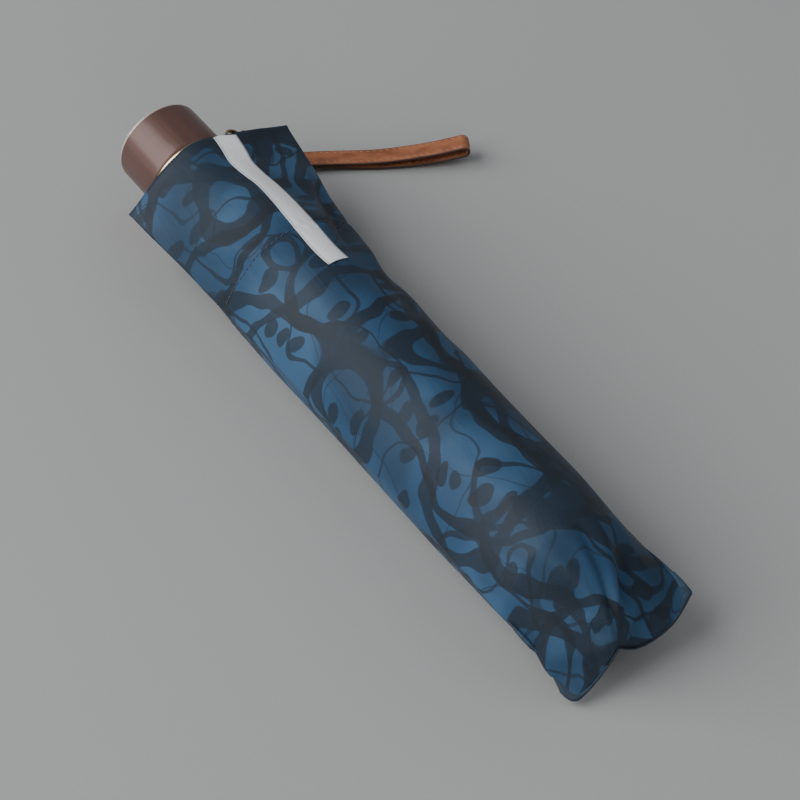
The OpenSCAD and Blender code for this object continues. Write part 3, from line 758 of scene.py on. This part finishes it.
# hem stitches all round
items = []
for side in (0, 1):
    ya = np.linspace(30.2, -27.0, 46) if side == 0 else np.linspace(-26.0, 29.0, 40)
    if side == 0:
        pts = []
        for y in np.linspace(31.0, -27.2, 400):
            r = outer.ray_cast(Vector((float(hem_x(y, 0)), y, 60)), Vector((0, 0, -1)))
            if r[0] is not None:
                n = r[1] if r[1].z > 0 else -r[1]
                pts.append((np.array(r[0]), np.array(n)))
    else:
        pts = []
        for y in np.linspace(-27.2, 31.0, 400):
            r = outer.ray_cast(Vector((float(hem_x(y, 0)), y, -60)), Vector((0, 0, 1)))
            if r[0] is not None:
                n = r[1] if r[1].z < 0 else -r[1]
                pts.append((np.array(r[0]), np.array(n)))
    PP = np.array([p for p, n in pts]); NN = np.array([n for p, n in pts])
    d = np.r_[0, np.cumsum(np.linalg.norm(np.diff(PP, axis=0), axis=1))]
    s = 0.4
    while s + 1.9 < d[-1]:
        f = lambda q: np.array([np.interp(q, d, PP[:, k]) for k in range(3)])
        g = lambda q: np.array([np.interp(q, d, NN[:, k]) for k in range(3)])
        nn = g(s + 0.8); nn /= np.linalg.norm(nn)
        items.append(stitch(f(s), f(s + 1.65), nn, r=0.23, rise=0.26))
        s += 2.35
V, F = join_cords(items)
hem = mesh_obj("hem_stitches", V, F, mat=M_NAVY)
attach(hem, "sleeve"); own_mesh(hem)

# bound seam along the far end
path = SEAM + np.array([0.15, 0, 0])
V, F = tube_mesh([path], 0.36, 10)
bind = mesh_obj("end_seam_binding", V, F, mat=M_BIND)
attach(bind, "sleeve"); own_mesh(bind)

# label tape
LABEL = catmull([(26.1, 13.5), (34, 12.1), (42.7, 9.9), (51.8, 9.5), (60.5, 9.8), (71.9, 8.7), (83, 7.3), (92.8, 6.25), (101.4, 5.55), (107.5, 5.7), (111.0, 6.1)], 120)
LW = 9.5
nl = 17
LP = np.zeros((len(LABEL), nl, 3)); LUV = np.zeros((len(LABEL), nl, 2))
tang = np.gradient(LABEL, axis=0); tang /= np.linalg.norm(tang, axis=1)[:, None]
ll = np.r_[0, np.cumsum(np.linalg.norm(np.diff(LABEL, axis=0), axis=1))]
for i, (c, t) in enumerate(zip(LABEL, tang)):
    nrm = np.array([-t[1], t[0]])
    for j in range(nl):
        w = (j / (nl - 1) - 0.5) * LW
        q = c + nrm * w
        p, n = on_top(float(np.clip(q[0], 25.8, 250)), float(q[1]))
        LP[i, j] = p + n * (0.18 + 0.10 * math.cos(w / LW * math.pi))
        LUV[i, j] = (w, ll[i])
LP[..., 2] = gauss_rows(LP[..., 2], 1.2)
label = grid_obj("label_tape", LP, LUV, mat=M_LAB)
if label.data.polygons[20].normal.z < 0:
    label.data.flip_normals()
solidify(label, 0.16, offset=1.0); apply_mods(label)
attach(label, "sleeve"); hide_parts("sleeve_label"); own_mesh(label)
items = []
for sgn in (-1, 1):
    j = 1 if sgn < 0 else nl - 2
    line = LP[:, j]
    d = np.r_[0, np.cumsum(np.linalg.norm(np.diff(line, axis=0), axis=1))]
    s = 0.6
    while s + 1.2 < d[-1]:
        f = lambda q: np.array([np.interp(q, d, line[:, k]) for k in range(3)])
        _, nn = on_top(*[float(v) for v in f(s)[:2]])
        items.append(stitch(f(s) + nn * 0.14, f(s + 1.1) + nn * 0.14, nn, r=0.09, rise=0.08))
        s += 1.7
V, F = join_cords(items)
ls = mesh_obj("label_stitches", V, F, mat=M_WHITE)
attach(ls, "sleeve"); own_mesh(ls)

# ---------------------------------------------------------------- handle
def arc_pts(cx, cr, r, a0, a1, n):
    return [(cx + r * math.cos(math.radians(a)), cr + r * math.sin(math.radians(a))) for a in np.linspace(a0, a1, n)]

rf = 1.7
prof = [(0.45, 0.0)] + [(0.45 - 0.42 * smoothstep(k / 12), k * 1.25) for k in range(1, 12)] + \
       arc_pts(rf, 17.2 - rf, rf, 176, 90, 14) + [(6, 17.24), (12, 17.30), (18, 17.36), (22.4, 17.4), (22.9, 17.3), (23.4, 16.9), (23.6, 16.0), (23.6, 0.0)]
handle = lathe("handle_grip", prof, 160, mat=M_LAC)
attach(handle, "handle"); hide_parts("handle")
prof = [(23.5, 13.7), (23.5, 16.6)] + arc_pts(24.2, 17.0, 0.7, 180, 90, 5) + [(25.2, 17.75), (25.5, 17.52), (25.9, 17.52), (26.2, 17.75)] + arc_pts(26.9, 17.0, 0.7, 90, 0, 5) + [(27.6, 13.7)]
collar = lathe("collar_ring", prof, 160, mat=M_GOLD)
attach(collar, "handle"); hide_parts("handle_collar")
paint("handle_socket", M_BLK); paint("lower_tube", M_STEEL); paint("mid_tube", M_STEEL); paint("upper_tube", M_STEEL)
paint("strap_eyelet", M_GOLD); paint("crown", M_BLK); paint("crown_wire", M_WIRE); paint("top_cap", M_LAC)
paint("runner", M_BLK); paint("runner_button", M_RESIN)
for i in range(1, 7):
    paint(f"rib_inner_{i}", M_ALU); paint(f"rib_middle_{i}", M_ALU); paint(f"rib_outer_{i}", M_RESIN); paint(f"stretcher_{i}", M_WIRE)

# ---------------------------------------------------------------- ring and strap
ea = math.radians(32)
eye = np.array([25.6, 19.7 * math.cos(ea), 19.7 * math.sin(ea)])
hang = np.array([-0.35, 0.80, -0.49]); hang /= np.linalg.norm(hang)
swing = np.cross(hang, [0.2, 0.25, 1.0]); swing /= np.linalg.norm(swing)
rc = eye + hang * 4.6
rn = np.cross(hang, swing)
pts = []
for a in np.linspace(0, 4 * math.pi - 0.5, 180):
    off = (a / (4 * math.pi) - 0.5) * 1.0
    pts.append(rc + 4.6 * (hang * math.cos(a + 2.0) + swing * math.sin(a + 2.0)) + rn * off)
V, F = tube_mesh([pts], 0.48, 14)
ring = mesh_obj("split_ring", V, F, mat=M_RING)
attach(ring, "ring"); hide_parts("ring")

far = eye + hang * 9.2
LANE = [far, (20.0, 27.3, 0.2), (19.0, 36, -13.5), (20.0, 47, -22.2), (26.0, 59.6, -24.3), (36.8, 76.0, -24.7), (46.6, 92.0, -22.9), (53.2, 103.4, -20.2)]
NLn = 120
lane = catmull(LANE, NLn)
T = np.gradient(lane, axis=0); T /= np.linalg.norm(T, axis=1)[:, None]
Bw = []
for i in range(NLn):
    t = i / (NLn - 1)
    lvl = np.cross(T[i], [0, 0, 1.0]); lvl /= np.linalg.norm(lvl)
    b0 = swing if swing @ lvl > 0 else -swing
    k = smoothstep(t / 0.35)
    b = b0 * (1 - k) + lvl * k
    b -= T[i] * (b @ T[i]); b /= np.linalg.norm(b)
    Bw.append(b)
Bw = np.array(Bw)
Nn = np.cross(Bw, T)
ts = np.linspace(0, 1, NLn)
gap = np.where(ts < 0.14, 1.52 - (1.52 - 0.64) * ts / 0.14, np.where(ts < 0.48, 0.64, 0.64 + 1.45 * np.sin(np.pi / 2 * np.clip((ts - 0.48) / 0.52, 0, 1) ** 1.15)))
# centre line of the whole strap, once round
up = lane + Nn * gap[:, None]
dn = lane - Nn * gap[:, None]
loop, lb = list(up), list(Bw)
for a in np.linspace(78, -78, 13):
    m_ = Nn[-1] * math.sin(math.radians(a)) + T[-1] * math.cos(math.radians(a))
    loop.append(lane[-1] + m_ * gap[-1]); lb.append(Bw[-1])
loop += list(dn[::-1]); lb += list(Bw[::-1])
for a in np.linspace(-105, -255, 11):
    m_ = Nn[0] * math.sin(math.radians(a)) + T[0] * math.cos(math.radians(a))
    loop.append(lane[0] + m_ * gap[0]); lb.append(Bw[0])
loop, lb = np.array(loop), np.array(lb)
nL = len(loop)
tl = np.roll(loop, -1, 0) - np.roll(loop, 1, 0); tl /= np.linalg.norm(tl, axis=1)[:, None]
ln = np.cross(lb, tl); ln /= np.linalg.norm(ln, axis=1)[:, None]
along = np.r_[0, np.cumsum(np.linalg.norm(np.diff(loop, axis=0), axis=1))]
width = np.full(nL, 7.5)
fromring = np.minimum(along, along[-1] - along)
width *= 0.42 + 0.58 * smoothstep(fromring / 16)
# rounded-rectangle section with a crowned face
th = 1.15
prof2 = []
for y, z in [(-0.5, 0.0), (-0.492, 0.27), (-0.465, 0.42), (-0.42, 0.49), (-0.30, 0.53), (-0.15, 0.56), (0, 0.57), (0.15, 0.56), (0.30, 0.53), (0.42, 0.49), (0.465, 0.42), (0.492, 0.27), (0.5, 0.0),
             (0.492, -0.27), (0.465, -0.42), (0.42, -0.49), (0.2, -0.5), (0, -0.5), (-0.2, -0.5), (-0.42, -0.49), (-0.465, -0.42), (-0.492, -0.27)]:
    prof2.append((y, z))
prof2 = np.array(prof2)
SP_ = loop[:, None, :] + lb[:, None, :] * (prof2[None, :, 0:1] * width[:, None, None]) + ln[:, None, :] * (prof2[None, :, 1:2] * th)
UVs = np.zeros((nL + 1, len(prof2) + 1, 2))
for i in range(nL + 1):
    for j in range(len(prof2) + 1):
        UVs[i, j] = (prof2[j % len(prof2), 0] * 8.0, (along[i] if i < nL else along[-1] + 1))
strap = grid_obj("wrist_strap", SP_, UVs, close_u=True, close_v=True, mat=M_LEA)
ce = strap.data.polygons[0]
import bmesh
bm = bmesh.new(); bm.from_mesh(strap.data); bmesh.ops.recalc_face_normals(bm, faces=bm.faces); bm.to_mesh(strap.data); bm.free()
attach(strap, "strap"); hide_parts("strap")
# saddle stitches: two slanting rows on both outer faces
items = []
tot = along[-1]
f3 = lambda A, q: np.array([np.interp(q, along, A[:, k]) for k in range(3)])
s = 13.0
while s < tot - 13.0:
    for row in (-1, 1):
        wdt = np.interp(s, along, width)
        c0, b0, n0_, t0 = f3(loop, s), f3(lb, s), f3(ln, s), f3(tl, s)
        for face in (1, -1):
            base = c0 + b0 * row * wdt * 0.335 + n0_ * face * th * 0.51
            dv = t0 * 0.85 + b0 * 0.34
            items.append(stitch(base - dv, base + dv, n0_ * face, r=0.15, rise=0.09))
    s += 2.55
V, F = join_cords(items)
ss = mesh_obj("strap_stitches", V, F, mat=M_PALE)
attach(ss, "strap")

# ---------------------------------------------------------------- rolled canopy (seen once the sleeve is off)
nx, na = 130, 240
xs = np.linspace(64.5, 262.5, nx)
RP = np.zeros((na, nx, 3)); RUV = np.zeros((na + 1, nx, 2))
for ia in range(na + 1):
    a = 2 * math.pi * ia / na
    for ix, x in enumerate(xs):
        ph = (a / (2 * math.pi) * 6 + (x - 64) * 0.0042) % 1.0
        pleat = 0.95 * (ph ** 1.4) - 1.15 * max(0.0, 1 - ph / 0.07)
        bind_ = math.exp(-((x - 85) / 13) ** 2)
        ends = smoothstep((x - 64.5) / 14) * smoothstep((262.5 - x) / 22)
        r = 23.1 + pleat * (0.5 + 0.5 * ends) * (1 - 0.25 * bind_)
        r *= 1 - 0.05 * (1 - smoothstep((x - 64.5) / 16)) - 0.20 * (1 - smoothstep((262.5 - x) / 26))
        r += 0.22 * float(vnoise(np.array([x / 17, math.cos(a) * 2.2 + 5, math.sin(a) * 2.2]), 21))
        r += (0.35 * math.sin(a * 9 + x * 0.9) + 0.3 * math.sin(a * 14 - x * 0.7)) * math.exp(-((x - 85) / 16) ** 2) * (1 - math.exp(-((x - 85) / 7.5) ** 2))
        if ia < na:
            RP[ia, ix] = (x, r * math.cos(a), r * math.sin(a))
        RUV[ia, ix] = (ia / na * 165 + 300, x + 30 * ((a / (2 * math.pi) * 6) // 1))
roll = grid_obj("rolled_canopy", RP, RUV, close_u=True, mat=M_FAB)
# turned-in ends
bm = bmesh.new(); bm.from_mesh(roll.data)
uvl = bm.loops.layers.uv.active
bm.verts.ensure_lookup_table()
for ix, rin, dx in ((0, 17.0, 3.0), (nx - 1, 12.6, 0.8)):
    bm.verts.ensure_lookup_table()
    edge = [bm.verts[ia * nx + ix] for ia in range(na)]
    prev = edge
    for st in range(1, 4):
        f = st / 3
        cur = []
        for ia in range(na):
            a = 2 * math.pi * ia / na
            x0, y0, z0 = RP[ia, ix]
            r0 = math.hypot(y0, z0)
            r = r0 + (rin - r0) * f
            xx = x0 + (dx if ix == 0 else -dx) * f * f + 0.5 * math.sin(a * 18) * math.sin(math.pi * f)
            cur.append(bm.verts.new((xx * MM, r * math.cos(a) * MM, r * math.sin(a) * MM)))
        for ia in range(na):
            ib = (ia + 1) % na
            fc = bm.faces.new((prev[ia], prev[ib], cur[ib], cur[ia]))
            fc.smooth = True
            for lp, (uu, vv) in zip(fc.loops, ((ia, f - 0.33), (ia + 1, f - 0.33), (ia + 1, f), (ia, f))):
                lp[uvl].uv = (300 + uu / na * 165, RP[0, ix, 0] + (-1 if ix == 0 else 1) * vv * 6)
        prev = cur
bmesh.ops.recalc_face_normals(bm, faces=bm.faces)
bm.to_mesh(roll.data); bm.free()
for p in roll.data.polygons:
    p.use_smooth = True
solidify(roll, 0.3); apply_mods(roll)
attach(roll, "upper_shaft")
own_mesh(roll)
# closure band
nb = 200
BP = np.zeros((nb, 9, 3)); BUV = np.zeros((nb + 1, 9, 2))
for ia in range(nb + 1):
    a = 2 * math.pi * ia / nb
    for j in range(9):
        w = j / 8 - 0.5
        r = 24.2 - 0.25 * (2 * w) ** 4 + 0.12 * math.sin(a * 5 + 1)
        if ia < nb:
            BP[ia, j] = (85 + w * 13.5 + 0.25 * math.sin(a * 3), r * math.cos(a), r * math.sin(a))
        BUV[ia, j] = (ia / nb * 160 + 700, w * 13.5)
band = grid_obj("closure_band_cloth", BP, BUV, close_u=True, mat=M_FAB)
bm = bmesh.new(); bm.from_mesh(band.data); bmesh.ops.recalc_face_normals(bm, faces=bm.faces); bm.to_mesh(band.data); bm.free()
solidify(band, 0.5); apply_mods(band)
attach(band, "upper_shaft"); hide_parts("closure_band"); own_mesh(band)

# ---------------------------------------------------------------- open canopy: gores
def rot_m(axis, ang):
    return np.array(Matrix.Rotation(ang, 3, Vector(axis)))

def hinge_T(j, q):
    p = np.array(j["pos_m"]) * 1000; R = rot_m(j["axis"], q)
    return R, p - R @ p

def comp(A, B):
    return A[0] @ B[0], A[0] @ B[1] + A[1]

def full(j):
    c = next(c for c in frame["record"]["behaviour"]["couplings"] if c["joint"] == j["name"])
    return c["ratio"] * JOINTS["canopy_open"]["range_m"][1]

NB = 6
fab_top = {}
def rib_chain(i):
    a = JOINTS[f"rib_inner_{i}"]; b = JOINTS[f"rib_middle_{i}"]; c = JOINTS[f"rib_outer_{i}"]
    T1 = hinge_T(a, full(a)); T2 = comp(T1, hinge_T(b, full(b))); T3 = comp(T2, hinge_T(c, full(c)))
    return T1, T2, T3

def er(i):
    f = math.radians(60 * (i - 1)); return np.array([0, math.cos(f), math.sin(f)])

# fabric line over rib 1 when open, in the (radial, axial) plane
T1, T2, T3 = rib_chain(1)
X_ = np.array([1.0, 0, 0])
def ln_pt(T, x, r):
    return T[0] @ (x * X_ + r * er(1)) + T[1]
gj = {k: JOINTS[f"gore_{k}_1"] for k in ("inner", "middle", "outer")}
hl = {k: float(np.array(gj[k]["pos_m"]) @ er(1)) * 1000 for k in gj}
knee_x, elb_x, tip_x = 74.0, 256.0, 60.0
A0 = ln_pt(T1, 254.0, hl["inner"]); A1 = ln_pt(T1, knee_x, hl["inner"]); A2 = ln_pt(T2, elb_x, hl["middle"]); A3 = ln_pt(T3, tip_x + 1.5, hl["outer"])
poly = np.array([[p @ er(1), p[0]] for p in (A0, A1, A2, A3)])
seglen = np.linalg.norm(np.diff(poly, axis=0), axis=1)
Lk = np.r_[0, np.cumsum(seglen)]
fine = np.linspace(0, Lk[-1], 1200)
fp = np.c_[np.interp(fine, Lk, poly[:, 0]), np.interp(fine, Lk, poly[:, 1])]
fp = gauss_rows(fp, 14.0)
def rib_line(l):
    return np.array([np.interp(l, fine, fp[:, 0]), np.interp(l, fine, fp[:, 1])])

W = 2.4
def inv_smooth(w):
    return 0.5 - math.sin(math.asin(1 - 2 * min(1, max(0, w))) / 3)

def canopy_point(i, l, nu):
    r, x = rib_line(l)
    e1, e2 = er(i), er(i % NB + 1)
    q = x * X_ + r * (e1 * (1 - nu) + e2 * nu)
    mid = e1 + e2; mid /= np.linalg.norm(mid)
    sag = min(0.030 * r, 3.6) * math.sin(math.pi * nu)
    return q - X_ * sag * 0.75 - mid * sag * 0.25

def boundary(k, nu):
    """Length along the canopy at which section k starts, at fraction nu across the gore."""
    b = math.sin(math.pi * nu)
    if k == 0: return 0.0
    if k == 1: return Lk[1] + 25.0 * b
    if k == 2: return Lk[2] + 40.0 * b
    return Lk[3] - 24.0 * b ** 0.85

NU, ND = 22, (16, 16, 16)
for i in range(1, NB + 1):
    Ts = rib_chain(i)
    for k, nm in enumerate(("inner", "middle", "outer")):
        j = JOINTS[f"gore_{nm}_{i}"]
        D = full(j)
        apex = np.array(j["pos_m"]) * 1000; ax = np.array(j["axis"])
        R, t = Ts[k]
        sx = 1.0 if nm == "middle" else -1.0
        o_dir = np.cross(ax, sx * X_)
        # where the rib's own line is, seen from the apex
        G = np.zeros((NU + 1, ND[k] + 1, 3)); GU = np.zeros((NU + 1, ND[k] + 1, 2))
        for a in range(NU + 1):
            nu = a / NU
            l0, l1 = boundary(k, nu), boundary(k + 1, nu)
            for b in range(ND[k] + 1):
                l = l0 + (l1 - l0) * b / ND[k]
                Q = canopy_point(i, l, nu)
                q = R.T @ (Q - t) - apex
                hgt = q @ ax; fl = q - hgt * ax
                dist = np.linalg.norm(fl)
                phi = math.atan2(fl @ o_dir, fl @ (sx * X_))
                w = min(1, max(0, phi / D))
                for _ in range(12):
                    s_ = W * (inv_smooth(w) - 0.5)
                    w = min(1, max(0, (phi - s_ / dist) / D))
                rest = rot_m(ax, -w * D) @ q + apex
                s_ = W * (inv_smooth(w) - 0.5)
                # put the point exactly on its blend coordinate
                rest = rest + o_dir * (s_ - (rest - apex) @ o_dir)
                G[a, b] = rest
                r_, x_ = rib_line(l)
                GU[a, b] = ((nu - 0.5) * r_ + 900 + 640 * (i % 3), l + 400 * (i // 3))
        g = grid_obj(f"gore_{nm}_cloth_{i}", G, GU, mat=M_FAB)
        g.data.materials.append(M_FAB)
        c0 = apex + sx * X_ * 150
        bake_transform(g)
        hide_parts(f"gore_{nm}_{i}")

# ---------------------------------------------------------------- floor, lights, camera
bpy.context.view_layer.update()
FZ = -0.0271
fl = mesh_obj("floor", [(-9000, -9000, 0), (9000, -9000, 0), (9000, 9000, 0), (-9000, 9000, 0)], [(0, 1, 2, 3)], smooth=False, mat=floor_mat())
fl.location.z = FZ

# helpers that ride on the lowest points, so that the floor drops away when the frame swings below it
def helper(name, body, p):
    e = bpy.data.objects.new(name, None)
    SC.collection.objects.link(e)
    e.parent = frame["bodies"][body]
    e.location = Vector(p) * MM
    return e
helps = [helper(f"low_{i}", f"rib_outer_{i}", tip_x * X_ + 16 * er(i)) for i in range(1, 7)]
helps.append(helper("low_strap", "strap", (58, 112, -20)))
helps.append(helper("low_strap2", "strap", (36, 76, -23.5)))

def driver(owner, path, index, expr, vars_):
    d = owner.driver_add(path, index).driver if index is not None else owner.driver_add(path).driver
    d.type = "SCRIPTED"
    for nm, (tgt, ch) in vars_.items():
        v = d.variables.new(); v.name = nm; v.type = "TRANSFORMS"
        v.targets[0].id = tgt; v.targets[0].transform_type = ch; v.targets[0].transform_space = "WORLD_SPACE"
    d.expression = expr
    return d

vs = {f"h{k}": (h, "LOC_Z") for k, h in enumerate(helps)}
expr = f"min({FZ}"
for k in range(len(helps)):
    expr += f", h{k} - 0.0035"
expr += ")"
driver(fl, "location", 2, expr, vs)

AZ, EL = math.radians(54.62), math.radians(48.84)
back = Vector((math.sin(AZ) * math.cos(EL), -math.cos(AZ) * math.cos(EL), math.sin(EL)))
right = Vector((math.cos(AZ), math.sin(AZ), 0))
up_ = back.cross(right)
rig = bpy.data.objects.new("camera_rig", None); SC.collection.objects.link(rig)
cam = bpy.data.objects.new("camera", bpy.data.cameras.new("camera")); SC.collection.objects.link(cam)
cam.data.sensor_width = 36; cam.data.lens = 189.13
cam.data.clip_start, cam.data.clip_end = 0.05, 60
cam.rotation_mode = "QUATERNION"
cam.location = Vector((0.145, 0, 0)) + back * 1.5 + right * 0.00723 - up_ * 0.00875
cam.rotation_quaternion = (-back).to_track_quat("-Z", "Y")
cam.parent = rig
SC.camera = cam
# Framing: the rig backs off and follows as the shaft extends, the sleeve leaves or the canopy opens.
bd = frame["bodies"]
v = {"u": (bd["upper_shaft"], "LOC_X"), "r": (bd["runner"], "LOC_X"), "s": (bd["sleeve"], "LOC_X")}
TR = JOINTS["canopy_open"]["range_m"][1]
for ax_, name in enumerate("xyz"):
    ctr = 1.0 if ax_ == 0 else 0.0
    ex = f"{back[ax_]:.6f} * (4.2 * max(s, u) + 3.1 * (r - u) / {TR:.6f})"
    if ax_ == 0:
        ex += f" + 0.5 * max(s, u)"
    driver(rig, "location", ax_, ex, v)


def area(name, loc, aim, size, power, col=(1, 1, 1), size_y=None):
    l = bpy.data.lights.new(name, "AREA")
    l.shape = "RECTANGLE" if size_y else "SQUARE"
    l.size = size
    if size_y: l.size_y = size_y
    l.energy = power; l.color = col
    o = bpy.data.objects.new(name, l); SC.collection.objects.link(o)
    o.location = loc
    d = (Vector(aim) - Vector(loc)).normalized()
    o.rotation_mode = "QUATERNION"; o.rotation_quaternion = d.to_track_quat("-Z", "Y")
    return o

c = Vector((0.15, 0.02, 0))
# key: from the left of the picture, a little above; fill from the top right; low bounce from the near side
area("key", c - right * 1.6 - up_ * 0.25 + Vector((0, 0, 1.45)), c, 2.3, 60, (1.0, 0.99, 0.975), 2.0)
area("fill", c + right * 1.3 + up_ * 0.9 + Vector((0, 0, 1.5)), c, 2.4, 9.0, (0.95, 0.97, 1.0))
area("near", c - up_ * 1.6 + Vector((0, 0, 1.1)), c, 1.6, 11, (1.0, 0.99, 0.97))
wd = bpy.data.worlds.new("studio") if not SC.world else SC.world
SC.world = wd
wd.use_nodes = True
bg = wd.node_tree.nodes.get("Background")
bg.inputs[0].default_value = (0.86, 0.90, 0.96, 1); bg.inputs[1].default_value = 0.24

bpy.context.view_layer.update()
